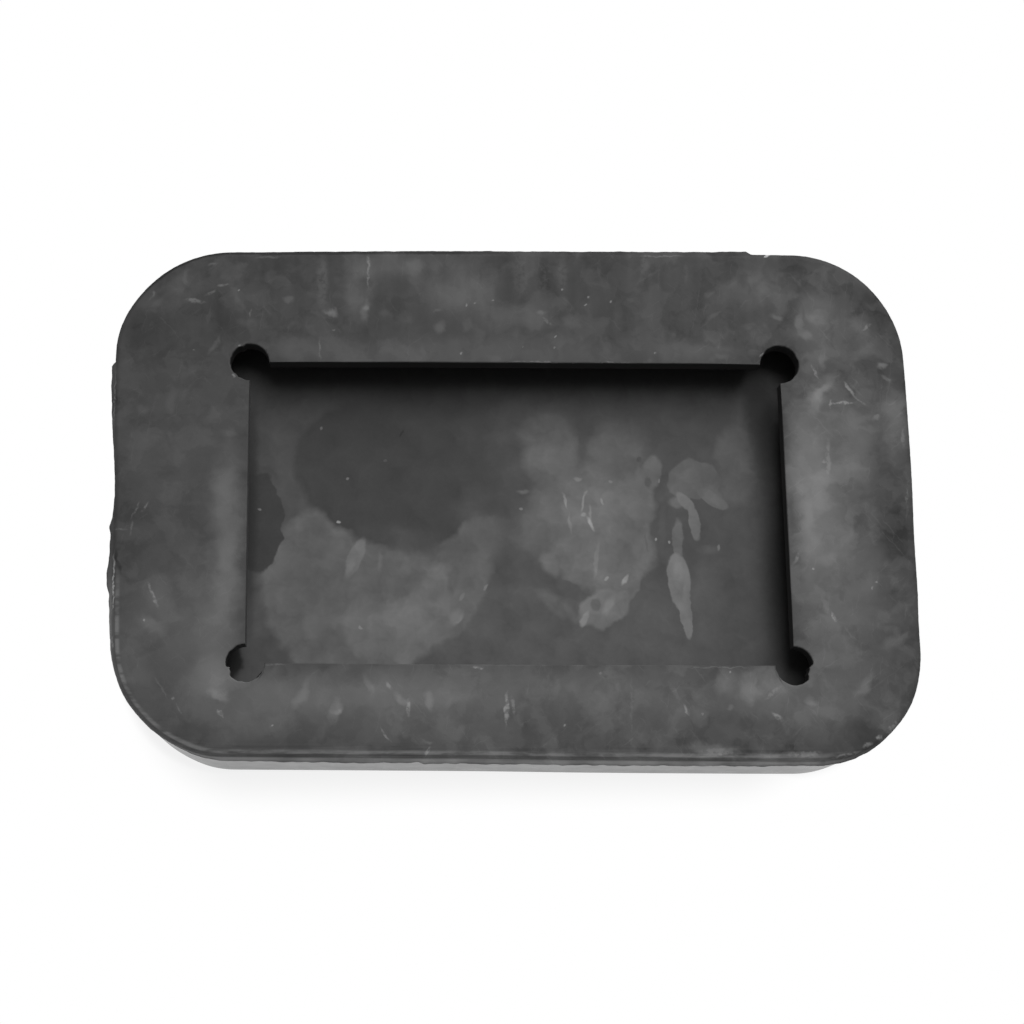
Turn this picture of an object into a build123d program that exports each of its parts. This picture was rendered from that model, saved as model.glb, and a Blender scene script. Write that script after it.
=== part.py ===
"""Clutch pedal pad: one piece of moulded black rubber that slips over a steel pedal plate.

The pad lies on its tread, as it would on a bench. The tread face is at Z = 0 and the back of the pad, with the
window that the pedal plate is pushed in through, faces +Z. X runs along the pad's long side. The origin is in
the middle of the tread face. Lengths are in millimetres.
"""

import os

from build123d import *

# Outer block
pad_length = 90.0
pad_width = 58.8
corner_radius = 12.4
back_edge_radius = 0.6
tread_edge_radius = 1.0

# The stack from the tread up to the back face
groove_depth = 3.5
web_thickness = 4.5
pocket_height = 4.5
lip_thickness = 2.0

# Pocket that holds the pedal plate, under the lip
wall_thickness = 4.5
pocket_corner_radius = 8.0
pocket_edge_radius = 0.8

# Window in the lip, nearer to one long side of the pad than to the other
end_lip = 14.5
far_lip = 13.4
near_lip = 10.4
relief_radius = 2.1
window_edge_radius = 0.2

# Tread: straight grooves inside a plain border
groove_count = 6
groove_width = 3.5
side_border = 6.5
end_border = 8.0
groove_edge_radius = 0.4

# Levels and lengths that follow from the sizes above
pocket_floor_z = groove_depth + web_thickness
lip_underside_z = pocket_floor_z + pocket_height
back_z = lip_underside_z + lip_thickness
pocket_length = pad_length - 2 * wall_thickness
pocket_width = pad_width - 2 * wall_thickness
window_length = pad_length - 2 * end_lip
window_width = pad_width - far_lip - near_lip
window_y = (near_lip - far_lip) / 2
groove_length = pad_length - 2 * end_border
groove_pitch = (pad_width - 2 * side_border - groove_width) / (groove_count - 1)


with BuildPart() as pedal_pad:
    # Solid block with rounded corners
    with BuildSketch():
        RectangleRounded(pad_length, pad_width, corner_radius)
    extrude(amount=back_z)
    outer_edges = pedal_pad.edges()
    fillet(outer_edges.group_by(Axis.Z)[-1], back_edge_radius)
    fillet(outer_edges.group_by(Axis.Z)[0], tread_edge_radius)

    # Pocket for the pedal plate, with moulded radii where its wall meets the floor and the lip
    with BuildSketch(Plane.XY.offset(pocket_floor_z)):
        RectangleRounded(pocket_length, pocket_width, pocket_corner_radius)
    extrude(amount=pocket_height, mode=Mode.SUBTRACT)
    for level in (pocket_floor_z, lip_underside_z):
        rim = pedal_pad.edges().filter_by_position(Axis.Z, level, level)
        fillet(rim, pocket_edge_radius)

    # Window through the lip, with a round tear-stop hole centred on each of its corners
    with BuildSketch(Plane.XY.offset(back_z)):
        with Locations((0, window_y)):
            Rectangle(window_length, window_width)
            with GridLocations(window_length, window_width, 2, 2):
                Circle(relief_radius)
    extrude(amount=-lip_thickness, mode=Mode.SUBTRACT)
    window_rim = pedal_pad.edges(Select.LAST).filter_by_position(Axis.Z, back_z, back_z)
    fillet(window_rim, window_edge_radius)

    # Tread grooves along the pad, with round ends
    with BuildSketch():
        with GridLocations(0, groove_pitch, 1, groove_count):
            SlotOverall(groove_length, groove_width)
    extrude(amount=groove_depth, mode=Mode.SUBTRACT)
    groove_rims = pedal_pad.edges(Select.LAST).filter_by_position(Axis.Z, 0, 0)
    fillet(groove_rims, groove_edge_radius)

pedal_pad.part.label = "pedal_pad"

os.makedirs("parts", exist_ok=True)
export_step(pedal_pad.part, "parts/pedal_pad.step")
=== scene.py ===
"""Slip-on clutch pedal pad: one moulding of black rubber, lying on its tread on a white bench top."""

import math

import bpy
import numpy as np
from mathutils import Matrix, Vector
from mathutils.geometry import delaunay_2d_cdt


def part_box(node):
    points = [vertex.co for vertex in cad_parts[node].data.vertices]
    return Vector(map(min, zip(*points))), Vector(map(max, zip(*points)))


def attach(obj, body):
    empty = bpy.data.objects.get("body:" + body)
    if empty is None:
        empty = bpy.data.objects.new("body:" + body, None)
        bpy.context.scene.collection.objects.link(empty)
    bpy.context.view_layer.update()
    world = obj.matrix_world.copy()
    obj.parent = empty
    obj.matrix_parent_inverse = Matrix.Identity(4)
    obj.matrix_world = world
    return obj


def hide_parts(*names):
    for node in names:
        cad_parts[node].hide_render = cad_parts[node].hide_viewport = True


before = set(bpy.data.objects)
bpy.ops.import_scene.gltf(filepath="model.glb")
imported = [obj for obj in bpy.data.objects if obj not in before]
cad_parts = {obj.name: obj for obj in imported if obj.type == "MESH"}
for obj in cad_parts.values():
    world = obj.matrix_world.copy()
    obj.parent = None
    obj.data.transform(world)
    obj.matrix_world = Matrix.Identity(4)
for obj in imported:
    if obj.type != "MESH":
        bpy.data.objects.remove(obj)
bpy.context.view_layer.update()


# ---- The pad -------------------------------------------------------------------------------------
# One piece of black rubber, pressed in a steel mould that parts just under the pad's back face. A thin fin
# of flash was left there and trimmed by hand, and the corner holes were punched with a worn tool. Rubber
# comes out of the mould a little out of square, with an uneven lip, and it picks up pale rub marks.

MM = 0.001
low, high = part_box("pedal_pad")
pad_length, pad_width, pad_height = (high - low) / MM

corner_radius = 12.4
wall_thickness = 4.5
pocket_corner_radius = 8.0
pocket_edge_radius = 0.8
pocket_floor = 8.0
lip_thickness = 2.0
end_lip, far_lip, near_lip = 14.5, 13.4, 10.4
relief_radius = 2.1
edge_bevel, edge_drop = 0.5, 0.15
tread_edge_radius = 1.0
window_edge_radius = 0.15
far_lip_bow = 0.04

# Narrow flats beside the rounded edges keep each edge's shading from spreading over the flat faces
tread_flat, rim_flat, pocket_flat, groove_flat = 0.06, 0.05, 0.05, 0.04

lip_underside = pad_height - lip_thickness
window_length = pad_length - 2 * end_lip
window_width = pad_width - far_lip - near_lip
window_y = (near_lip - far_lip) / 2

corner_steps, end_steps, side_steps = 80, 130, 240


def corners(length, width, radius=0.0, y=0.0):
    """Centres of a rectangle's corner arcs, anticlockwise from the far right one."""
    half_x, half_y = length / 2 - radius, width / 2 - radius
    ways = ((1, 1), (-1, 1), (-1, -1), (1, -1))
    return np.array([(way_x * half_x, y + way_y * half_y) for way_x, way_y in ways])


def outline(centres, radius, sweep, bow=(0, 0, 0, 0)):
    """Closed ring of points: each corner's arc and the run before it, which may bow outwards."""
    arcs = []
    for quarter, centre in enumerate(centres):
        turn = math.radians(sweep) * (np.linspace(0, 1, corner_steps + 1) - 0.5)
        angle = turn + math.radians(45 + 90 * quarter)
        reach = radius(quarter, angle) if callable(radius) else radius
        arcs.append(centre + np.column_stack([reach * np.cos(angle), reach * np.sin(angle)]))
    stretches = []
    for quarter, steps in enumerate((end_steps, side_steps, end_steps, side_steps)):
        start, stop = arcs[quarter - 1][-1], arcs[quarter][0]
        along = np.linspace(0, 1, steps, endpoint=False)[:, None]
        facing = math.radians(90 * quarter)
        out = np.array([math.cos(facing), math.sin(facing)])
        stretches.append(start + along * (stop - start) + out * bow[quarter] * 4 * along * (1 - along))
        stretches.append(arcs[quarter][:-1])
    return np.concatenate(stretches)


def ripple(along, lengths, phase=0.0):
    """Smooth unevenness between about -1 and 1, from a few waves of the given lengths."""
    waves = [np.sin(math.tau * along / length + phase + 2.4 * number)
             for number, length in enumerate(lengths)]
    return sum(waves) / len(waves)


def round_over(radius, steps):
    """Points of a quarter round, as how far in it is from the wall and how far up from its foot."""
    angle = np.linspace(0, math.pi / 2, steps + 1)
    return list(zip(radius * (1 - np.cos(angle)), radius * np.sin(angle)))


def block_ring(inset=0.0):
    return outline(corners(pad_length, pad_width, corner_radius), corner_radius - inset, 90)


def pocket_ring(inset=0.0):
    centres = corners(pad_length - 2 * wall_thickness, pad_width - 2 * wall_thickness, pocket_corner_radius)
    return outline(centres, pocket_corner_radius - inset, 90)


# Where each punched hole is ragged: the angle, half its spread, and how far the rubber reaches into the hole
ragged_places = [
    [(24, 7, 0.09), (80, 5, 0.05), (146, 8, 0.08), (-40, 6, 0.05)],
    [(113, 8, 0.14), (160, 5, 0.04), (225, 7, 0.1), (247, 9, 0.07)],
    [(131, 8, 0.06), (196, 3, 0.2), (205, 12, 0.3), (262, 6, 0.08), (300, 6, 0.05)],
    [(341, 16, 0.42), (324, 7, 0.16), (357, 7, 0.2), (80, 5, 0.05), (240, 6, 0.05)],
]
punch_spread = [0.16, 0.08, 0.02, 0.04]  # how much wider than its nominal size each hole came out


def rim_reach(grow):
    """Gives the radius of a corner hole at an angle, with its ragged places."""
    def reach(quarter, angle):
        radius = relief_radius + punch_spread[quarter] + grow
        radius = radius + 0.02 * ripple(angle, (1.1, 0.47, 0.29), 2.0 * quarter)
        for degrees, spread, depth in ragged_places[quarter]:
            away = (angle - math.radians(degrees)) / math.radians(spread)
            radius = radius - depth * np.exp(-away**4)
        return radius
    return reach


def window_ring(grow=0.0):
    centres = corners(window_length, window_width, 0.0, window_y)
    return outline(centres, rim_reach(grow), 270, (grow, grow + far_lip_bow, grow, grow))


# Flash round the back face: the distance along the edge from the right end's near corner, and how far the fin
# stands out there. It changes suddenly where a piece was torn or cut off
edge_line = block_ring()
edge_step = np.linalg.norm(np.roll(edge_line, -1, axis=0) - edge_line, axis=1)
edge_along = np.concatenate([[0.0], np.cumsum(edge_step)[:-1]])
edge_out = edge_line - block_ring(1.0)
flash_places = [
    (0, 0.04), (58.3, 0.04), (58.9, 0.42), (64, 0.3), (80, 0.22), (110, 0.16), (120, 0.04), (139.2, 0.04),
    (139.6, 0.42), (143, 0.42), (149, 0.15), (155, 0.04), (157.6, 0.2), (158.7, 0.55), (159.5, 0.36),
    (162, 0.38), (165.2, 0.69), (166.4, 0.34), (173.4, 0.12), (176, 0.04), (186, 0.1), (192, 0.4),
    (205, 0.52), (212, 0.5), (212.8, 0.36), (213.4, 0.54), (250, 0.48), (261, 0.34), (266, 0.06),
    (276.4, 0.04),
]
flash_reach = np.interp(edge_along, *zip(*flash_places))
wavy_share, fine_tear = 0.14, 0.02
flash_reach *= 1 + wavy_share * ripple(edge_along, (7.3, 3.1, 1.7))
flash_reach += fine_tear * ripple(edge_along, (1.9, 1.3, 0.83, 0.61), 1.0)
flash_level = pad_height - edge_drop
flash_thickness = 0.14

points, faces, holds, finishes = [], [], [], []
sides, back_face, inner_walls, pocket_bed = 0, 1, 2, 3


def add_ring(ring, level, hold=0.0):
    """Adds a ring of points at a level, and gives their numbers. By hold it follows the bowed sides."""
    first = len(points)
    heights = np.broadcast_to(level, len(ring))
    points.extend((x, y, z) for (x, y), z in zip(ring, heights))
    holds.extend([hold] * len(ring))
    return list(range(first, first + len(ring)))


def bridge(lower, upper, finish=sides):
    """Joins two rings with quads. Seen from outside, the first ring is the lower one."""
    count = len(lower)
    after = [(i + 1) % count for i in range(count)]
    faces.extend((lower[i], lower[j], upper[j], upper[i]) for i, j in enumerate(after))
    finishes.extend([finish] * count)


def cap(loop, holes=(), face_down=False, finish=sides):
    """Fills a flat ring, leaving out any rings inside it."""
    numbers, edges, first, owner = [], [], 0, []
    for mark, ring in enumerate([loop, *holes]):
        numbers += ring
        owner += [mark] * len(ring)
        edges += [(first + i, first + (i + 1) % len(ring)) for i in range(len(ring))]
        first += len(ring)
    flat = [Vector(points[number][:2]) for number in numbers]
    _, _, triangles, _, _, _ = delaunay_2d_cdt(flat, edges, [], 1, 1e-7)
    for triangle in triangles:
        owners = {owner[corner] for corner in triangle}
        if len(owners) == 1 and owners != {0}:
            continue  # it lies inside one of the holes
        corner_numbers = [numbers[corner] for corner in triangle]
        faces.append(tuple(corner_numbers[::-1] if face_down else corner_numbers))
        finishes.append(finish)


# The section, from the tread's edge up the side, over the back, through the window and into the pocket
section = [(block_ring(tread_edge_radius + tread_flat), 0.0, 1)]
for inward, up in round_over(tread_edge_radius, 6):
    section.append((block_ring(tread_edge_radius - up), inward, 1))
for level in np.linspace(tread_edge_radius + 0.1, flash_level - flash_thickness - 0.1, 9):
    section.append((edge_line, level, 1))
section.append((edge_line, flash_level - flash_thickness, 1))

flash_root = len(section) - 1
curl_height, full_curl_reach = 0.1, 0.5
flash_curl = curl_height * ripple(edge_along, (9.0, 4.1, 17.0), 0.6)
flash_curl *= np.minimum(1, flash_reach / full_curl_reach)
for share, drop in ((0.4, 1.0), (0.85, 0.9), (1.0, 0.7), (1.02, 0.5), (1.0, 0.3), (0.85, 0.1), (0.4, 0.0)):
    ring = edge_line + edge_out * (flash_reach * share)[:, None]
    section.append((ring, flash_level - flash_thickness * drop + flash_curl * share, 1))
section.append((edge_line, flash_level, 1))
for share in np.linspace(0, 1, 6)[1:]:
    section.append((block_ring(edge_bevel * share), pad_height - edge_drop * (1 - share) ** 2, 1))

lip_rings = 16
outer, rim = block_ring(edge_bevel), window_ring(window_edge_radius + rim_flat)
for share in (0.005, *np.linspace(0, 1, lip_rings + 2)[1:]):
    section.append((outer + (rim - outer) * share, pad_height, (1 - share) ** 1.5))
for inward, up in round_over(window_edge_radius, 4):
    section.append((window_ring(window_edge_radius - up), pad_height - inward, 0))
rim_foot = len(section) - 1
for level in np.linspace(pad_height - window_edge_radius, lip_underside + 0.1, 4)[1:]:
    section.append((window_ring(), level, 0))
section.append((window_ring(0.03), lip_underside + 0.03, 0))

underside, ceiling = window_ring(0.1), pocket_ring(pocket_edge_radius)
for share in (0, 0.15, 0.4, 0.7, 0.98, 1.0):
    section.append((underside + (ceiling - underside) * share, lip_underside, 0))
for inward, up in round_over(pocket_edge_radius, 5)[::-1][1:]:
    section.append((pocket_ring(inward), lip_underside - pocket_edge_radius + up, 0))
section.append((pocket_ring(), (lip_underside + pocket_floor) / 2, 0))
bed_edge = len(section)
for inward, up in round_over(pocket_edge_radius, 5):
    section.append((pocket_ring(inward), pocket_floor + pocket_edge_radius - up, 0))
section.append((pocket_ring(pocket_edge_radius + pocket_flat), pocket_floor, 0))

rings = [add_ring(ring, level, hold) for ring, level, hold in section]
last_rings = (flash_root, rim_foot, bed_edge)
for number, (lower, upper) in enumerate(zip(rings, rings[1:])):
    stretch = np.searchsorted(last_rings, number, "right")
    bridge(lower, upper, [sides, back_face, inner_walls, pocket_bed][stretch])
cap(rings[-1], finish=pocket_bed)

# Tread grooves along the pad, with round ends
groove_count, groove_width, groove_depth = 6, 3.5, 3.5
side_border, end_border, groove_edge_radius, groove_foot = 6.5, 8.0, 0.4, 0.3
groove_end = pad_length / 2 - end_border - groove_width / 2
groove_pitch = (pad_width - 2 * side_border - groove_width) / (groove_count - 1)


def groove_ring(y, grow=0.0):
    """Outline of one groove, a long slot with round ends, anticlockwise."""
    turn = np.linspace(-math.pi / 2, math.pi / 2, 19)
    radius = groove_width / 2 + grow
    right = np.column_stack([groove_end + radius * np.cos(turn), y + radius * np.sin(turn)])
    left = np.column_stack([-groove_end - radius * np.cos(turn), y - radius * np.sin(turn)])
    return np.concatenate([right, left])


groove_rims = []
for number in range(groove_count):
    y = (number - (groove_count - 1) / 2) * groove_pitch
    levels = [add_ring(groove_ring(y, groove_edge_radius + groove_flat), 0.0)]
    for inward, up in round_over(groove_edge_radius, 4):
        levels.append(add_ring(groove_ring(y, groove_edge_radius - up), inward))
    for inward, up in ((0, groove_foot), (0.3 * groove_foot, 0.3 * groove_foot), (groove_foot, 0)):
        levels.append(add_ring(groove_ring(y, -inward), groove_depth - up))
    for nearer_mouth, deeper in zip(levels, levels[1:]):
        bridge(deeper, nearer_mouth)  # a hollow's wall faces its own middle, so the rings change places
    cap(levels[-1], face_down=True)
    groove_rims.append(levels[0])
cap(rings[0], groove_rims, face_down=True)

# Sides that bow out and corners drawn in: the middle by the distance along the edge, the spread to each side,
# and how far it stands out
bowed_places = [
    (26, 11, 0.25), (78, 29, 0.24), (142, 10, 0.46), (163, 10, 0.22), (183.5, 4.5, -0.15), (243, 18, 0.1),
    (0, 5, -0.16),
]
edge_length = edge_step.sum()
bowed_out = np.zeros(len(edge_along))
for middle, spread, bow in bowed_places:
    away = (edge_along - middle + edge_length / 2) % edge_length - edge_length / 2
    bowed_out += bow * np.exp(-(away / spread)**4)
bowed_out = edge_out * bowed_out[:, None]
mould_place = np.array(points)
shape = mould_place.copy()
ring_points = len(rings) * len(edge_line)
shape[:ring_points, :2] += np.tile(bowed_out, (len(rings), 1)) * np.array(holds)[:ring_points, None]

# A body out of square, with a far side and a right end that came out wider, and a gently wavy lip
wider_far, skewed_ends, wider_right, skewed_sides, lip_wave = 0.2, 0.25, 0.4, 0.15, 0.06
across, along = mould_place[:, 0] / (pad_length / 2), mould_place[:, 1] / (pad_width / 2)
shape[:, 0] += wider_far * across * along - skewed_ends * across**2 * along
shape[:, 1] += wider_right * across * along - skewed_sides * across * along**2
lip_share = np.clip((mould_place[:, 2] - lip_underside + 0.2) / 0.5, 0, 1)
wave = ripple(mould_place[:, 0], (31.0, 17.0, 11.0), 0.5) * ripple(mould_place[:, 1], (23.0, 13.0), 1.1)
shape[:, 2] += lip_wave * wave * lip_share

pad_mesh = bpy.data.meshes.new("rubber_pad")
pad_mesh.from_pydata((shape * MM).tolist(), [], faces)
pad_mesh.shade_smooth()
pad_mesh.set_sharp_from_angle(angle=math.radians(50))
pad_mesh.polygons.foreach_set("material_index", finishes)
mould_mark = pad_mesh.attributes.new("mould_place", "FLOAT_VECTOR", "POINT")
mould_mark.data.foreach_set("vector", mould_place.ravel())
pad = bpy.data.objects.new("rubber_pad", pad_mesh)
bpy.context.scene.collection.objects.link(pad)
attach(pad, "root")
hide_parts("pedal_pad")


class Shade:
    """A shader socket. Arithmetic on it adds Math nodes, and Shade.node adds any other node."""

    tree = None

    def __init__(self, socket):
        self.socket = socket

    @classmethod
    def node(cls, kind, settings=None, inputs=None, output=0):
        new = cls.tree.nodes.new(kind)
        for name, value in (settings or {}).items():
            setattr(new, name, value)
        for name, value in (inputs or {}).items():
            if isinstance(value, Shade):
                cls.tree.links.new(value.socket, new.inputs[name])
            else:
                new.inputs[name].default_value = value
        return cls(new.outputs[output])

    def combine(self, operation, first, second):
        return Shade.node("ShaderNodeMath", {"operation": operation}, {0: first, 1: second})

    def __add__(self, other):
        return self.combine("ADD", self, other)

    def __sub__(self, other):
        return self.combine("SUBTRACT", self, other)

    def __rsub__(self, other):
        return self.combine("SUBTRACT", other, self)

    def __mul__(self, other):
        return self.combine("MULTIPLY", self, other)

    __radd__, __rmul__ = __add__, __mul__


def vector_math(operation, first, second=(0, 0, 0), output=0):
    return Shade.node("ShaderNodeVectorMath", {"operation": operation}, {0: first, 1: second}, output)


def fade(value, start, stop, low=0.0, high=1.0):
    """Eases from low at start to high at stop, and stays level outside them."""
    return Shade.node("ShaderNodeMapRange", {"interpolation_type": "SMOOTHSTEP"},
                      {"Value": value, "From Min": start, "From Max": stop, "To Min": low, "To Max": high})


def noise(where, scale, detail=2.0, output=0):
    return Shade.node("ShaderNodeTexNoise", None,
                      {"Vector": where, "Scale": scale, "Detail": detail, "Roughness": 0.55}, output)


def stretched(where, x, y, z=1.0):
    return vector_math("MULTIPLY", where, (x, y, z))


def ragged(where, scale, reach, detail=4.0):
    """The same places pushed about at random by up to half of reach, in mm."""
    push = vector_math("SUBTRACT", noise(where, scale, detail, 1), (0.5, 0.5, 0.5))
    return vector_math("ADD", where, stretched(push, reach, reach, 0))


def smudge(where, x, y, long, wide, turn, soft):
    """Mask of an ellipse of the given half lengths, in mm, whose rim is as soft as its share of them."""
    turned = Shade.node("ShaderNodeVectorRotate", {"rotation_type": "Z_AXIS"},
                        {"Vector": where, "Center": (x, y, 0), "Angle": -math.radians(turn)})
    local = Shade.node("ShaderNodeVectorMath", {"operation": "MULTIPLY_ADD"},
                       {0: turned, 1: (1 / long, 1 / wide, 0), 2: (-x / long, -y / wide, 0)})
    return fade(vector_math("LENGTH", local, output=1), 1 - soft, 1, 1, 0)


def rubber_finish(tone, roughness, specular, grain):
    """Ends a rubber material: its tone runs from clean black at 0 to a pale bloom at 1."""
    clean, dusty = (0.006, 0.006, 0.006, 1), (0.13, 0.13, 0.13, 1)
    grain_height = 0.06 * MM
    tone = tone.combine("MAXIMUM", tone, 0.0)
    colour = Shade.node("ShaderNodeMix", {"data_type": "RGBA", "clamp_factor": False},
                        {0: tone, 6: clean, 7: dusty}, 2)
    bump = Shade.node("ShaderNodeBump", None, {
        "Height": noise(mould(), 4.0, 4.0), "Strength": grain, "Distance": grain_height})
    finish_tree("ShaderNodeOutputMaterial", Shade.node("ShaderNodeBsdfPrincipled", None, {
        "Base Color": colour, "Roughness": roughness, "Specular IOR Level": specular, "Normal": bump}))


def finish_tree(kind, surface):
    Shade.tree.links.new(surface.socket, Shade.tree.nodes.new(kind).inputs["Surface"])


def new_material(name):
    material = bpy.data.materials.new(name)
    material.use_nodes = True
    material.node_tree.nodes.clear()
    Shade.tree = material.node_tree
    return material


def mould():
    """Where a point lay in the mould, in mm, before the pad went out of square."""
    return Shade.node("ShaderNodeAttribute", {"attribute_name": "mould_place"}, output="Vector")


def part_of(where, axis):
    return Shade.node("ShaderNodeSeparateXYZ", None, {0: where}, "XYZ".index(axis))


def distance_past(where, half_size):
    """How far places lie outside a rectangle of the given half size about the middle."""
    past = vector_math("MAXIMUM", vector_math("SUBTRACT", vector_math("ABSOLUTE", where), half_size))
    return vector_math("LENGTH", past, output=1)


# Sides and tread: smoother than the back. The walls have draw marks from the mould, and dust towards the
# tread
side_finish = new_material("rubber_sides")
place = mould()
half_size = (pad_length / 2 - corner_radius, pad_width / 2 - corner_radius, 1e3)
on_wall = fade(corner_radius - distance_past(place, half_size), 0.5, 1.5, 1, 0)
draw_marks = fade(noise(stretched(place, 0.9, 0.9, 0.05), 1.0, 3.0), 0.5, 0.72)
dust_at_foot = (1 - fade(part_of(place, "Z"), 0.8, 4.5)) * fade(noise(place, 0.4, 4.0), 0.35, 0.65)
wall_bloom = 0.4 * fade(noise(place, 0.13, 5.0), 0.48, 0.68) + 0.3 * draw_marks + 0.5 * dust_at_foot
side_tone = 0.1 + 0.35 * noise(place, 0.2, 4.0) + on_wall * wall_bloom
rubber_finish(side_tone, 0.24 + 0.12 * noise(place, 0.35, 3.0), 0.6, 0.06)
pad_mesh.materials.append(side_finish)

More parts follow.
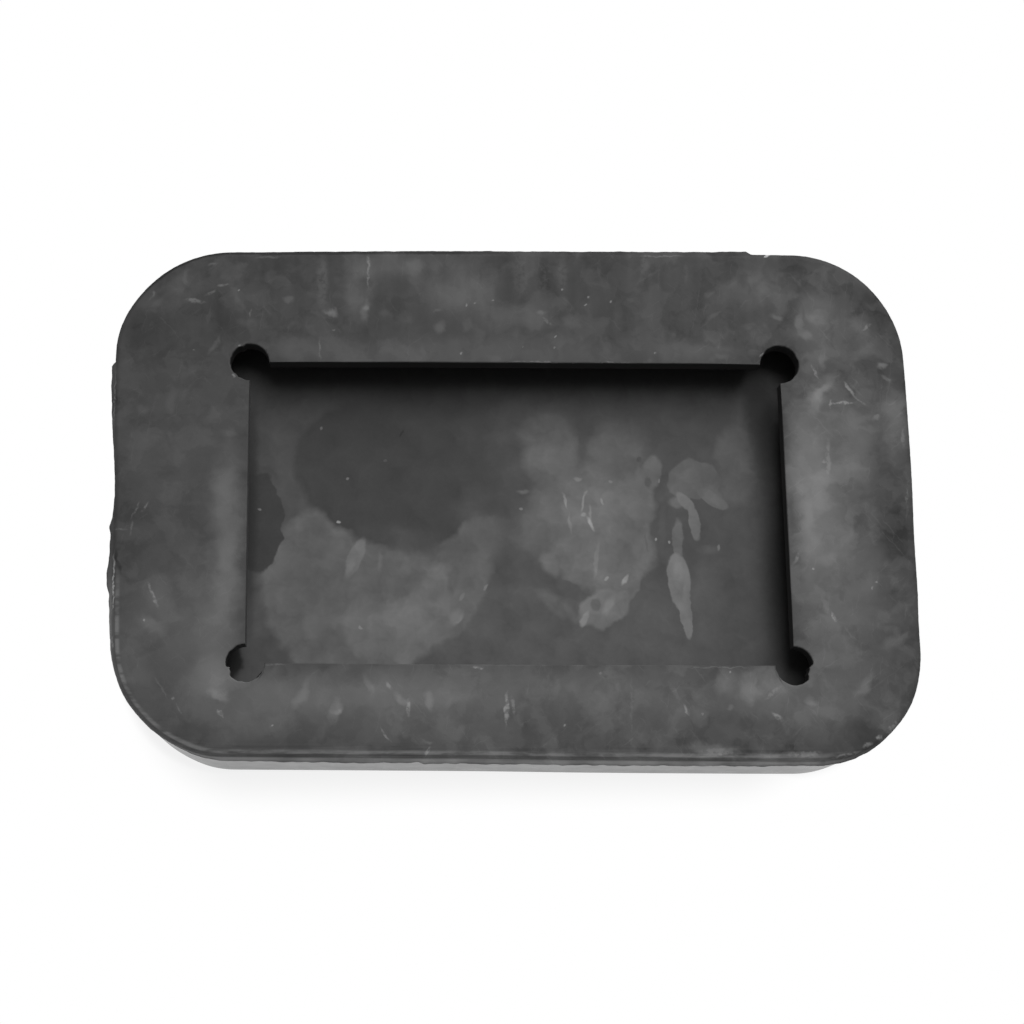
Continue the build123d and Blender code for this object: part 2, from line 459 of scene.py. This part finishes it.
# Back face: a thin uneven bloom, streaked down the far side, with pale rub marks and scratches, and with
# painted light, shade and highlights at its edges and over the right lip. A mark is its place, its half
# lengths, its turn in degrees, and how much paler it is (or darker, below 0)
back_finish = new_material("rubber_back_face")
place = mould()
loose, tight = ragged(place, 0.4, 2.4), ragged(place, 1.1, 0.75)
rubs_and_painted_light = [
    # The broad marks that make the right lip paler as a whole are partly painted sheen, standing in for the
    # light that falls stronger on that side
    (37, 0, 26, 10, 90, 0.16), (34, 2.5, 13.5, 5.5, 90, 0.3), (0, -24, 50, 8, 0, 0.26),
    (0, -21.5, 36, 4.5, 0, 0.2), (-38, -14, 12, 9, 90, 0.25), (-33, -16, 8, 4, 90, 0.3),
    (36.5, 19, 6, 5, 0, 0.2), (-38, 4, 16, 9, 90, 0.1), (-38, 22, 9, 9, 0, -0.05),
    (-42.3, 19.6, 3.2, 2.6, 60, -0.1), (-38.6, 25.4, 2.6, 1.3, 60, 0.16), (-37.9, 26.4, 1.2, 0.4, 90, 0.14),
    (-40.9, 23, 1, 0.8, 60, 0.12), (-35, 28, 0.7, 0.35, 20, 0.3), (-41.7, 24.1, 0.7, 0.25, 65, 0.3),
    (-32.3, 24.6, 4.2, 0.6, -62, 0.1), (-31, 21, 1.7, 0.8, 5, 0.12), (-26.4, 23.5, 0.9, 0.5, -20, 0.25),
    (-34.5, 17.9, 1.6, 0.4, 55, 0.2), (-12, 27.6, 2.3, 1.4, 0, 0.16), (-6, 24.5, 6, 5, 0, 0.1),
    (-18.2, 25.2, 1.6, 1.6, 0, -0.1), (-17.3, 22.1, 2, 0.8, 90, 0.3), (-17.2, 22.6, 0.6, 0.4, 0, 0.35),
    (-21.3, 22.1, 1.1, 0.5, -22, 0.6), (-13.2, 21.4, 1.4, 1.2, 90, 0.12), (-8.8, 20.4, 1.2, 1, 70, 0.3),
    (-9, 22.3, 0.7, 0.3, 0, 0.2), (-5.6, 20.6, 1.1, 0.8, 40, 0.14), (-15.2, 22.2, 0.8, 0.8, 0, 0.1),
    (0.8, 21.8, 4.5, 2.2, -5, 0.16), (2.6, 22.1, 0.8, 0.5, -20, 0.3), (6.4, 21, 1.6, 0.8, -15, 0.16),
    (22.5, 24.6, 0.8, 0.6, 40, 0.16), (23.3, 21.7, 1.4, 0.5, 20, 0.18), (28, 25.3, 6, 3, 10, 0.14),
    (30.4, 22, 1.4, 0.5, -15, 0.35), (33.2, 21.2, 2, 0.5, 85, 0.35), (35.2, 21.8, 1.9, 1.3, -10, 0.3),
    (33.7, 19.3, 1.1, 0.8, -20, 0.35), (34, 20, 3.5, 3, 0, 0.12), (41.9, 23, 4, 3, -60, -0.18),
    (37.6, 25, 1.8, 1.8, 0, -0.08), (27.5, 17.2, 1.1, 0.7, 0, 0.16), (23.5, 16.9, 0.9, 0.5, 0, 0.16),
    (35.6, 16.4, 1.4, 0.6, 95, 0.3), (42.5, 15.9, 0.9, 0.6, 10, 0.65), (42.8, 14.2, 1.1, 0.4, -35, 0.4),
    (40.2, 17.5, 2, 1.2, 60, 0.12), (33.6, 2.5, 10.5, 3.4, 90, 0.42), (34.3, -2, 7, 3, 90, 0.15),
    (36.5, -4, 6, 2.2, 90, 0.2), (38.5, 6, 6.5, 3.2, 90, 0.26), (38.8, 3, 2.3, 1.7, 0, 0.14),
    (35.3, 12.8, 2.3, 0.8, 42, 0.5), (34.8, -6.9, 1.9, 1.2, 10, 0.25), (42.6, -4, 6, 2.6, 90, -0.2),
    (41.1, 9.6, 0.6, 0.5, 0, 0.45), (39.6, -9.6, 2.6, 1.4, 75, 0.14), (34.4, -12.2, 1.5, 0.5, -65, 0.2),
    (42, -16.3, 2.8, 1, 28, 0.28), (38, -21.3, 2.2, 0.9, 48, 0.32), (36, -16, 8, 5, 0, 0.12),
    (32.2, -22.8, 0.9, 0.6, 0, 0.4), (25.7, -21.8, 1.8, 1.6, 0, 0.25), (28, -20.5, 7, 3.5, 0, 0.12),
    (22.8, -23.6, 0.5, 0.5, 0, 0.3), (35.4, -25, 1.8, 1, 70, 0.14), (38.2, -25.2, 2.4, 1.7, 20, -0.12),
    (5.6, -21.8, 1.8, 0.9, 50, 0.1), (-13.2, -22.9, 1.3, 0.6, -40, 0.4),
    (-10.2, -23.2, 1.5, 0.9, -70, 0.35), (-17, -21.2, 2, 0.6, -65, 0.25),
    (-20.6, -24.3, 1.6, 0.9, 80, 0.45), (-20.3, -24.4, 0.7, 0.5, 0, 0.4), (-24.3, -22.7, 2.3, 0.9, 60, 0.3),
    (-33.2, -22.6, 1.9, 0.8, -35, 0.45), (-34.5, -20.5, 3.5, 3.5, 0, 0.28), (-20, -22.5, 17, 3, 0, 0.1),
    (-8, -22.8, 3.4, 1.1, 5, 0.12), (-10.6, -27.6, 0.9, 0.3, -5, 0.3), (-32.6, -3.5, 12.5, 2.6, 90, 0.24),
    (-33.6, 0, 4.5, 2.2, 90, 0.12), (-32.7, 7.4, 1.5, 0.7, 0, 0.16), (-41.9, 10, 1.1, 1, 60, 0.14),
    (-39, 10.6, 2.6, 1, 80, 0.1), (-40, -11, 3.5, 2.4, -70, 0.2), (-40.8, -14.8, 2.2, 1.4, -30, 0.22),
    (-37, -15, 7, 5, 0, 0.12), (-44.4, -7.5, 2.2, 0.4, 90, -0.2), (-35, -27, 8, 3, -30, -0.06),
    (-4, 17.4, 34, 2.6, 0, 0.16), (-32.6, -2, 12, 3, 90, 0.18), (35.5, -10, 8, 9, 0, 0.36),
    (34, -22, 12, 7.5, 0, 0.3), (-31, -23, 11, 6.5, 0, 0.3), (-14, -23.4, 14, 5, 0, 0.12),
    (26, -22, 5, 4, 0, 0.15), (43.6, 9, 6.5, 2, 90, 0.35), (21, -28.2, 4.4, 0.9, 0, 0.4),
    (22.6, -20.6, 2, 1.6, 80, 0.4), (-42.6, -19.5, 8, 2.6, -70, 0.22), (2, -24, 4, 4, 0, -0.22),
    (34.2, 11.4, 2.7, 1.6, 60, 0.4), (35.8, 13.8, 2, 1.6, 0, 0.3), (34.5, 23, 3.4, 2.6, 0, 0.3),
    (-18, 24.5, 5, 2.6, 90, 0.2), (-8, 25, 6, 4, 0, 0.15), (32.6, -4, 8, 1.8, 90, 0.28),
    (32, 8.5, 6, 1.6, 90, 0.2), (-32.5, -10, 6, 2.4, 90, 0.25), (-25, 17.6, 4, 2.2, 0, 0.16),
    # The last row, at (29, -29.2), is painted light that makes the shaded band along the near edge paler
    (19, 17.8, 8, 2.4, 0, 0.2), (-15.5, 27.8, 6, 2.6, 0, 0.24), (29, -29.2, 8, 0.7, 0, 0.4),
]
marks_and_painted_light = 0.0
for x, y, long, wide, turn, depth in rubs_and_painted_light:
    marks_and_painted_light = marks_and_painted_light + depth * smudge(loose, x, y, long, wide, turn, 0.8)
scratches_and_painted_highlights = [
    (-22.4, 25.8, 4, 0.95, 90, 0.2), (-17.15, 26.8, 2.5, 0.18, 90, 0.5), (-17.15, 28.4, 0.9, 0.3, 90, 0.4),
    (0.5, 26.5, 3.4, 1.3, 90, 0.12), (3.2, 26.5, 3.4, 1.1, 90, -0.12), (5.3, 26.8, 3, 1, 90, 0.12),
    (15, 28, 1.7, 0.7, 90, 0.16), (19.9, 27, 1.8, 0.5, 90, 0.1), (9.7, 27.5, 1.7, 0.3, 90, 0.1),
    (17, 29.05, 3.2, 0.2, 1, 0.35), (-28.5, 28.8, 1.8, 0.22, 3, 0.3), (-22.6, 17.6, 1.7, 0.17, 92, 0.3),
    (-36.8, 23.4, 1.4, 0.36, -6, 0.5), (-35, 24.4, 0.9, 0.26, 25, 0.4), (-33.6, 25.3, 0.8, 0.24, 8, 0.5),
    (-30.5, 21.9, 0.7, 0.15, 90, 0.4), (3.5, 21, 0.9, 0.2, -45, 0.3), (41.1, 20.6, 1, 0.26, 38, 0.5),
    (34.6, 15.2, 1.2, 0.26, 114, 0.6), (37.6, 11.4, 1.6, 0.22, 3, 0.9), (36.2, 11.2, 0.7, 0.2, 80, 0.7),
    (38.5, 13, 1.5, 0.26, -55, 0.9), (39.6, 11.6, 1.0, 0.16, -40, 0.4), (35.55, 4.8, 2.7, 0.34, 88, 0.4),
    (35.1, 4.4, 0.4, 0.25, 0, 0.5), (31.4, -6.8, 1.1, 0.3, 63, 0.55), (35.3, -13.5, 0.8, 0.22, -65, 0.8),
    (44.3, 7.3, 1.5, 0.25, 90, 0.35), (44.3, 0.4, 1.2, 0.2, 90, 0.35), (27.9, -22, 1.5, 0.3, 38, 0.4),
    (28.2, -24.5, 1, 0.32, -35, 0.8), (18.2, -23.9, 0.9, 0.24, -65, 0.8), (17, -22, 2, 0.3, -62, 0.15),
    (12.1, -23.5, 4.5, 0.2, 89, 0.14), (21.7, -28.4, 3.2, 0.5, 0, 0.4), (31, -28.6, 2.6, 0.4, 4, 0.6),
    (-1.75, -24, 2.3, 0.3, 88, 1.0), (-1, -23.6, 1.4, 0.3, 96, 0.5), (-12.5, -23.8, 1.3, 0.32, 88, 0.7),
    (-14.7, -21.4, 0.7, 0.3, -60, 0.6), (-15, -26.9, 1.2, 0.16, -52, 0.6),
    (-33.1, -24.6, 0.7, 0.26, -40, 0.9), (-40.6, -11.3, 1.9, 0.26, -68, 0.7),
    (-42.7, -1.6, 1.4, 0.17, 68, 0.4), (-43.1, -3.6, 1.2, 0.17, 85, 0.3), (-41.6, -1.2, 0.9, 0.2, 60, 0.45),
    (-44.2, -3.8, 0.9, 0.16, 0, 0.3), (-10.4, -28.6, 0.8, 0.2, 60, 0.7), (-4.8, -19.3, 0.8, 0.25, 0, 0.9),
    (-27.2, -19.15, 1.6, 0.14, 0, 0.35), (22, -19.2, 5, 0.12, 0, 0.3), (2, 16.15, 4.6, 0.12, 0, 0.5),
    (11, 16.15, 3, 0.1, 0, 0.45), (-31.6, 18, 0.35, 0.18, 30, 0.8), (-32.3, 14.3, 0.35, 0.18, -50, 0.8),
    # The marks at (-44.85, -10) and (-44.9, -16.8) are painted highlights on the rounding of the left edge
    (28.4, 17.2, 0.45, 0.16, 60, 0.6), (-38.3, -23, 0.3, 0.3, 0, 0.5), (-44.85, -10, 4.3, 0.17, 90, 1.7),
    (-44.9, -16.8, 1, 0.12, 88, 0.8), (-45, 12, 4, 0.1, 90, 0.5), (-39.6, -21.8, 2, 0.14, -62, 0.2),
    (-37.6, -24.2, 0.9, 0.16, -60, 0.3), (35.9, -28.6, 2.2, 0.24, 12, 0.6),
    (38.2, -27.6, 0.8, 0.36, 30, 0.7), (39.6, -26.8, 0.5, 0.4, 40, 1.1), (41.1, -25.6, 1.4, 0.36, 48, 0.6),
    (29.6, 29.3, 0.4, 0.3, 30, 3.0),
]
scuffs_and_painted_highlights = 0.0
for x, y, long, wide, turn, depth in scratches_and_painted_highlights:
    scuffs_and_painted_highlights = scuffs_and_painted_highlights + depth * smudge(tight, x, y, long, wide, turn, 0.7)
specks = [
    (5.3, 24.8), (8.4, 24), (8, 23.1), (11, 23.5), (-5.9, 22.9), (-4.8, 23.2), (-2.8, 23.5), (-6.5, 17.2),
    (-36.7, 17.4), (-21, 19.9), (0.6, 17.9), (4.4, 19.2), (4.3, 17.9), (16, 17.4), (-31.9, 24.7),
    (4.7, -25.6), (-27.4, -26), (-41.5, -14.2), (8.8, -20), (23.2, -19.7), (20, -24.3), (6.4, 16),
    (33.2, -8), (39.8, -10.2), (40.3, -9.5),
]
speck_length, speck_width, speck_turn = 0.22, 0.17, 40
for x, y in specks:
    scuffs_and_painted_highlights = scuffs_and_painted_highlights + 0.9 * smudge(tight, x, y, speck_length, speck_width, speck_turn, 0.7)
broken_scuffs_and_painted_highlights = scuffs_and_painted_highlights * fade(noise(place, 2.3, 3.0), 0.36, 0.54, 0.25, 1.1)
# The bloom takes in the marks and scuffs above, so it also carries their painted light and highlights
bloom = marks_and_painted_light + broken_scuffs_and_painted_highlights + 0.13 + 0.24 * noise(place, 0.09)
busy = fade(part_of(place, "X") - 0.7 * part_of(place, "Y"), -15, 30, 0.6, 1.0)
mottle = 0.4 * (noise(loose, 0.45, 4.0) - 0.5) + 0.16 * fade(noise(loose, 0.22, 5.0), 0.5, 0.6)
bloom = bloom + busy * (mottle - 0.1 * fade(noise(loose, 0.31, 5.0), 0.5, 0.42))
for turn in (35, 80, -50):
    grain_line = Shade.node("ShaderNodeVectorRotate", {"rotation_type": "Z_AXIS"},
                            {"Vector": tight, "Angle": -math.radians(turn)})
    hairline = noise(stretched(grain_line, 0.22, 3.6), 1.0, 2.0)
    bloom = bloom + 0.12 * busy * fade(hairline, 0.66, 0.74)
streaks = noise(stretched(place, 0.4, 0.035), 1.0)
bloom = bloom + 0.36 * fade(part_of(place, "Y"), 14, 24) * (streaks - 0.5)
edge_depth = corner_radius - distance_past(place, half_size)
# Painted shade: a dark line along the far edge of the back, stronger on its left part
far_edge_painted_shade = (1 - fade(edge_depth, 0.05, 0.45)) * fade(part_of(place, "Y"), 20, 27)
far_edge_painted_shade = far_edge_painted_shade * fade(part_of(place, "X"), -9, 1, 0.3, 0.05)
# Painted highlight: a pale, broken line along the top of the edge's rounding, standing in for the light that
# the rounded edge catches
edge_painted_highlight = fade(edge_depth, 0.3, 0.5) * (1 - fade(edge_depth, 0.65, 1.0))
edge_painted_highlight = edge_painted_highlight * fade(noise(stretched(place, 0.3, 1.2), 1.0, 3.0), 0.32, 0.6, 0, 0.6)
# Painted light: the shaded crease at the foot of the edge's rounding, and the fin beyond it, are made paler;
# the fin also gets a random tone
crease_painted_light_and_fin_tone = (1 - fade(edge_depth, 0.1, 0.4)) * 0.3
crease_painted_light_and_fin_tone = crease_painted_light_and_fin_tone + (1 - fade(edge_depth, -0.06, 0.06)) * (noise(place, 0.3) - 0.1)
drag_lines = (1 - fade(edge_depth, 0.6, 2.0)) * (noise(stretched(place, 0.12, 3.0), 1.0, 3.0) - 0.5)
drag_lines = drag_lines * fade(part_of(place, "X"), -43, -33)
# The painted highlight and the painted crease light, like the drag lines, are kept to the near part of the
# back, short of its right end
near_side = (1 - fade(part_of(place, "Y"), -14, -6)) * (1 - fade(part_of(place, "X"), 31, 38))
back_tone = bloom - far_edge_painted_shade + (edge_painted_highlight + crease_painted_light_and_fin_tone + 0.8 * drag_lines) * near_side
rubber_finish(back_tone, 0.66, 0.2, 0.12)
pad_mesh.materials.append(back_finish)

# Walls inside the window and the pocket: matt and clean, but paler at the window's left end
wall_finish = new_material("rubber_inner_walls")
place = mould()
from_middle = vector_math("SUBTRACT", place, (0, window_y, 0))
past_wall = distance_past(from_middle, (1e3, window_width / 2 - relief_radius, 1e3))
left_end = (1 - fade(part_of(place, "X"), -30, -28)) * (1 - fade(past_wall, 0, 0.5))
rubber_finish(0.02 + 0.1 * noise(place, 0.4, 3.0) + 0.3 * left_end, 0.7, 0.12, 0.08)
pad_mesh.materials.append(wall_finish)

# Pocket floor: smooth dark areas and dusty ones, laid over each other, and painted shade beside the lips. A
# patch is its place, its half lengths, its turn in degrees, how soft its rim is, and its tone
floor_finish = new_material("rubber_pocket_floor")
place = mould()
tight = ragged(place, 0.9, 0.6, 2.0)
loose = ragged(tight, 0.35, 2.0, 2.0)
floor_tone_and_painted_shade = 0.34
patches_and_painted_shade = [
    (6, -15, 20, 9, 0, 0.4, 0.46), (-14, -6, 11.5, 11.5, 0, 0.08, 0.68),
    (-20, -9.3, 9.7, 10.7, 0, 0.12, 0.64), (-14.5, -14, 5.8, 5, 0, 0.2, 0.78),
    (-11.5, -12.3, 7, 4.2, 25, 0.8, 0.92), (-9.6, -8, 2, 2.6, 0, 0.5, 0.9),
    (-7.3, -8, 2.4, 0.9, 80, 0.6, 0.55), (-3.2, -3.8, 4.8, 2.6, 60, 0.9, 0.6),
    (-23, -10, 5, 4, 0, 0.8, 0.58), (-20.6, -2, 2.2, 1.4, -25, 0.6, 0.8),
    (-30.6, -9, 12, 2.4, 90, 0.9, 0.4), (-29.9, -1.5, 6.1, 3.2, 90, 0.08, 0.15),
    (-6.5, 4, 8.5, 8, 0, 0.9, 0.17), (-15, 4.4, 11.7, 8.7, -22, 0.1, 0.17),
    (-5.2, -3.4, 5.6, 2.6, 35, 0.9, 0.52), (-13, -3.4, 7, 2.4, -8, 0.9, 0.32),
    (-11, 12.6, 12, 4.6, 0, 0.6, 0.2), (-5.5, 0.6, 4, 2.6, 40, 0.9, 0.34),
    (1.6, -2.5, 5, 3.6, 70, 0.9, 0.66), (4.6, 0, 8, 3.8, 90, 0.8, 0.78),
    (9.6, -1.7, 8.5, 6.5, 92, 0.14, 0.8), (14.3, 1.5, 4.6, 2.4, 90, 0.4, 0.78),
    (9, -1, 7, 4.5, 90, 0.9, 0.95), (3.8, 8.2, 5.8, 4.6, 95, 0.8, 0.62),
    (4.1, 7.4, 5.4, 4, 105, 0.35, 0.72), (12, 7.6, 4.6, 4.4, 20, 0.5, 0.62),
    (8.3, 9.5, 2.6, 0.9, 80, 0.6, 0.36), (16.1, 4.9, 2.3, 1.3, 80, 0.25, 0.7),
    (15.6, 3.6, 0.8, 0.5, 90, 0.5, 0.46), (14.7, 6.3, 0.4, 0.4, 0, 0.5, 0.35),
    (5.7, -9.2, 3.3, 1.1, -24, 0.25, 0.4), (4.8, -11.2, 3.6, 1.2, -38, 0.6, 0.68),
    (4, -6.2, 2, 1.4, -60, 0.6, 0.9), (14, -5.4, 3.8, 2.6, 62, 0.5, 0.84),
    (12.9, -8.6, 3.2, 1.7, 62, 0.35, 0.86), (10.2, -11.5, 3.3, 2.3, 25, 0.25, 0.98),
    (9.1, -11, 1, 0.76, 80, 0.4, 0.66), (7.8, -12.6, 1.3, 0.5, 62, 0.5, 1.4),
    (10.7, -11, 2, 0.7, 60, 0.7, 1.3), (12.2, -9.9, 1.2, 0.6, 30, 0.7, 1.2),
    (17.1, -1.5, 5, 0.6, 88, 0.7, 0.4), (21, 3.9, 3.3, 2.6, -10, 0.12, 0.6),
    (22.4, 2.9, 3.6, 1.3, -48, 0.25, 0.64), (23.2, 1.6, 2.2, 0.9, -33, 0.2, 0.72),
    (26, 5.5, 5.8, 3, 90, 0.35, 0.5), (19, 1.2, 1.3, 0.9, 0, 0.5, 0.7),
    (20, 1.2, 1.7, 0.72, -48, 0.25, 0.92), (20.9, -1.2, 2.4, 0.7, 98, 0.25, 0.98),
    (18.9, -3.4, 3, 0.75, 88, 0.3, 0.76), (18.9, -8.2, 3.5, 1.45, 95, 0.15, 1.12),
    (19.5, -11.6, 3.6, 0.76, 97, 0.15, 1.12), (18.8, -7.2, 2.6, 0.8, 92, 0.8, 1.35),
    (22.4, -4.5, 1.8, 0.8, 0, 0.8, 0.52), (22, -10.5, 3, 5, 0, 0.8, 0.44),
    (-18.6, -5.6, 2.9, 0.95, 68, 0.3, 0.95), (-19.2, -6.6, 1.4, 0.6, 66, 0.7, 1.2),
    (-15.8, -6, 1.8, 0.5, 85, 0.9, 0.9), (-6.8, -12.8, 1.1, 0.5, 50, 0.6, 1.5),
    (-7.1, -12.6, 1.8, 1, 50, 0.8, 1.05), (-6.3, -10.2, 0.7, 0.25, 60, 0.6, 1.0),
    (-3.6, -9, 0.5, 0.24, 60, 0.6, 1.05), (5.8, 1.4, 1.3, 0.24, 103, 0.7, 1.5),
    (6.3, -1.4, 1.5, 0.24, 95, 0.7, 1.2), (7.9, 1.2, 1.5, 0.22, 80, 0.7, 1.6),
    (8.7, 0, 1.2, 0.2, 92, 0.7, 1.4), (8.8, -1.4, 1.2, 0.3, 112, 0.7, 2.2),
    (8, -0.3, 0.5, 0.35, 0, 0.7, 1.6), (8.2, 2.3, 0.5, 0.24, 50, 0.7, 1.3),
    (7.4, 4, 0.7, 0.35, 0, 0.6, 1.3), (12.6, -8, 0.9, 0.33, 58, 0.6, 1.9),
    (10.4, -7.9, 0.4, 0.24, 30, 0.6, 1.5), (10.1, 1.3, 0.6, 0.2, 110, 0.6, 1.4),
    (9.3, -5.6, 2.6, 0.35, 84, 0.6, 1.1), (0.9, 2.4, 1, 0.4, 0, 0.8, 0.85),
    (0.6, 0.4, 0.3, 0.25, 0, 0.6, 1.1), (15.2, -3.6, 1.5, 0.2, 96, 0.6, 0.7),
    (-20.5, -1.3, 0.35, 0.25, 0, 0.5, 1.8), (-19.6, 3.8, 0.27, 0.22, 0, 0.5, 1.0),
    (-22.7, 9.9, 0.3, 0.22, 90, 0.5, 0.8), (-29.6, 0.1, 0.25, 0.2, 0, 0.5, 1.0),
    (16.3, -3.2, 0.3, 0.18, 90, 0.5, 1.6), (17.9, -3.6, 0.26, 0.2, 90, 0.5, 1.6),
    (-18, -13.7, 0.35, 0.2, -40, 0.5, 1.3), (11.2, 3.7, 0.3, 0.2, 0, 0.5, 1.2),
    (16.9, 3.8, 0.3, 0.18, 90, 0.5, 1.1), (23.7, -4.3, 0.45, 0.3, 90, 0.6, 1.0),
    (-13.3, 9.5, 0.7, 0.2, 60, 0.5, 0.05), (-15.2, 6.1, 0.3, 0.2, 0, 0.5, 0.4),
    # The last five patches are painted shade: they deepen the right lip's shadow on the floor, darken the
    # floor under the left lip as seen through the near left hole, and lay a dark line along the window's left
    # edge
    (29.8, 10, 8.5, 3.2, 90, 0.9, 0.08), (29.2, 12.6, 5, 2.6, 90, 0.8, 0.0),
    (-32.7, -17.2, 1.8, 3.2, 0, 0.4, 0.0), (31, -8, 12, 3, 90, 0.9, 0.12),
    (-30.6, 0, 18, 1.2, 90, 0.9, 0.05),
]
for x, y, long, wide, turn, soft, level in patches_and_painted_shade:
    where = loose if wide > 1.5 else tight
    mask = smudge(where, x, y, long, wide, turn, soft)
    floor_tone_and_painted_shade = floor_tone_and_painted_shade + mask * (level - floor_tone_and_painted_shade)
floor_tone_and_painted_shade = floor_tone_and_painted_shade * (0.36 + 1.28 * noise(loose, 0.35, 3.0))
floor_tone_and_painted_shade = floor_tone_and_painted_shade + 0.05 * (noise(place, 3.0, 2.0) - 0.5)
rubber_finish(floor_tone_and_painted_shade, 0.62, 0.2, 0.08)
pad_mesh.materials.append(floor_finish)


# ---- Bench top -----------------------------------------------------------------------------------
# A large sheet of white laminate under the pad, and the white room round it. Both are seen as pure white,
# but for a strip beside the pad, where a share of the laminate is seen with the pad's soft shadow on it.

bench_reach = 3.0
bench_corners = [(-bench_reach, -bench_reach, 0), (bench_reach, -bench_reach, 0),
                 (bench_reach, bench_reach, 0), (-bench_reach, bench_reach, 0)]
bench_mesh = bpy.data.meshes.new("bench_top")
bench_mesh.from_pydata(bench_corners, [], [(0, 1, 2, 3)])
bench = bpy.data.objects.new("bench_top", bench_mesh)
bpy.context.scene.collection.objects.link(bench)


def seen_directly():
    """1 for rays from the eye, also by a reflection or through glass, and 0 for light falling on things."""
    paths = [Shade.node("ShaderNodeLightPath", output=name)
             for name in ("Is Camera Ray", "Is Glossy Ray", "Is Transmission Ray")]
    return paths[0] + paths[1] + paths[2]


white = new_material("white_laminate")
bench_place = stretched(Shade.node("ShaderNodeTexCoord", output="Object"), 1 / MM, 1 / MM, 0)
glow_at_pad = 0.86
contact = fade(distance_past(bench_place, half_size),
               corner_radius - 0.3, corner_radius + 1.4, glow_at_pad, 1.0)
cast_shift, cast_half_size, cast_start, cast_end = (3, 0, 0), (27.5, 19, 1), 9.5, 15.5
cast = fade(distance_past(vector_math("ADD", bench_place, cast_shift), cast_half_size),
            cast_start, cast_end, glow_at_pad, 1.0)
glow_share = contact.combine("MINIMUM", contact, cast)
plain = Shade.node("ShaderNodeBsdfDiffuse", None, {"Color": (0.92, 0.92, 0.92, 1)})
glow = Shade.node("ShaderNodeEmission", None, {"Color": (1, 1, 1, 1), "Strength": 1.0})
finish_tree("ShaderNodeOutputMaterial", Shade.node(
    "ShaderNodeMixShader", None, {0: seen_directly() * glow_share, 1: plain, 2: glow}))
bench_mesh.materials.append(white)

room = bpy.data.worlds.new("white_room")
bpy.context.scene.world = room
room.use_nodes = True
room.node_tree.nodes.clear()
Shade.tree = room.node_tree
room_fill = 0.02
strength = room_fill + (1 - room_fill) * seen_directly()
finish_tree("ShaderNodeOutputWorld", Shade.node(
    "ShaderNodeBackground", None, {"Color": (1, 1, 1, 1), "Strength": strength}))


# ---- Light and camera ----------------------------------------------------------------------------
# One wide soft box hangs high beyond the far side of the bench, a little to the right. The camera looks down
# on the pad from its near side, a little left of its middle.

soft_box = bpy.data.lights.new("soft_box", "AREA")
soft_box.shape, soft_box.size, soft_box.size_y, soft_box.energy = "RECTANGLE", 0.42, 0.76, 6.7
soft_box_holder = bpy.data.objects.new("soft_box", soft_box)
soft_box_holder.location = (0.15, 0.37, 0.57)
soft_box_holder.rotation_mode = "QUATERNION"
soft_box_holder.rotation_quaternion = (-soft_box_holder.location).to_track_quat("-Z", "Y")
bpy.context.scene.collection.objects.link(soft_box_holder)

camera_lens = bpy.data.cameras.new("camera")
camera_lens.sensor_width, camera_lens.lens, camera_lens.clip_start = 36.0, 62.24, 0.01
camera = bpy.data.objects.new("camera", camera_lens)
camera.location = (-13.31 * MM, -49.77 * MM, 207.73 * MM)
camera.rotation_euler = [math.radians(degrees) for degrees in (13.995, -3.517, -0.678)]
bpy.context.scene.collection.objects.link(camera)
bpy.context.scene.camera = camera
bpy.context.scene.view_settings.view_transform = "Standard"
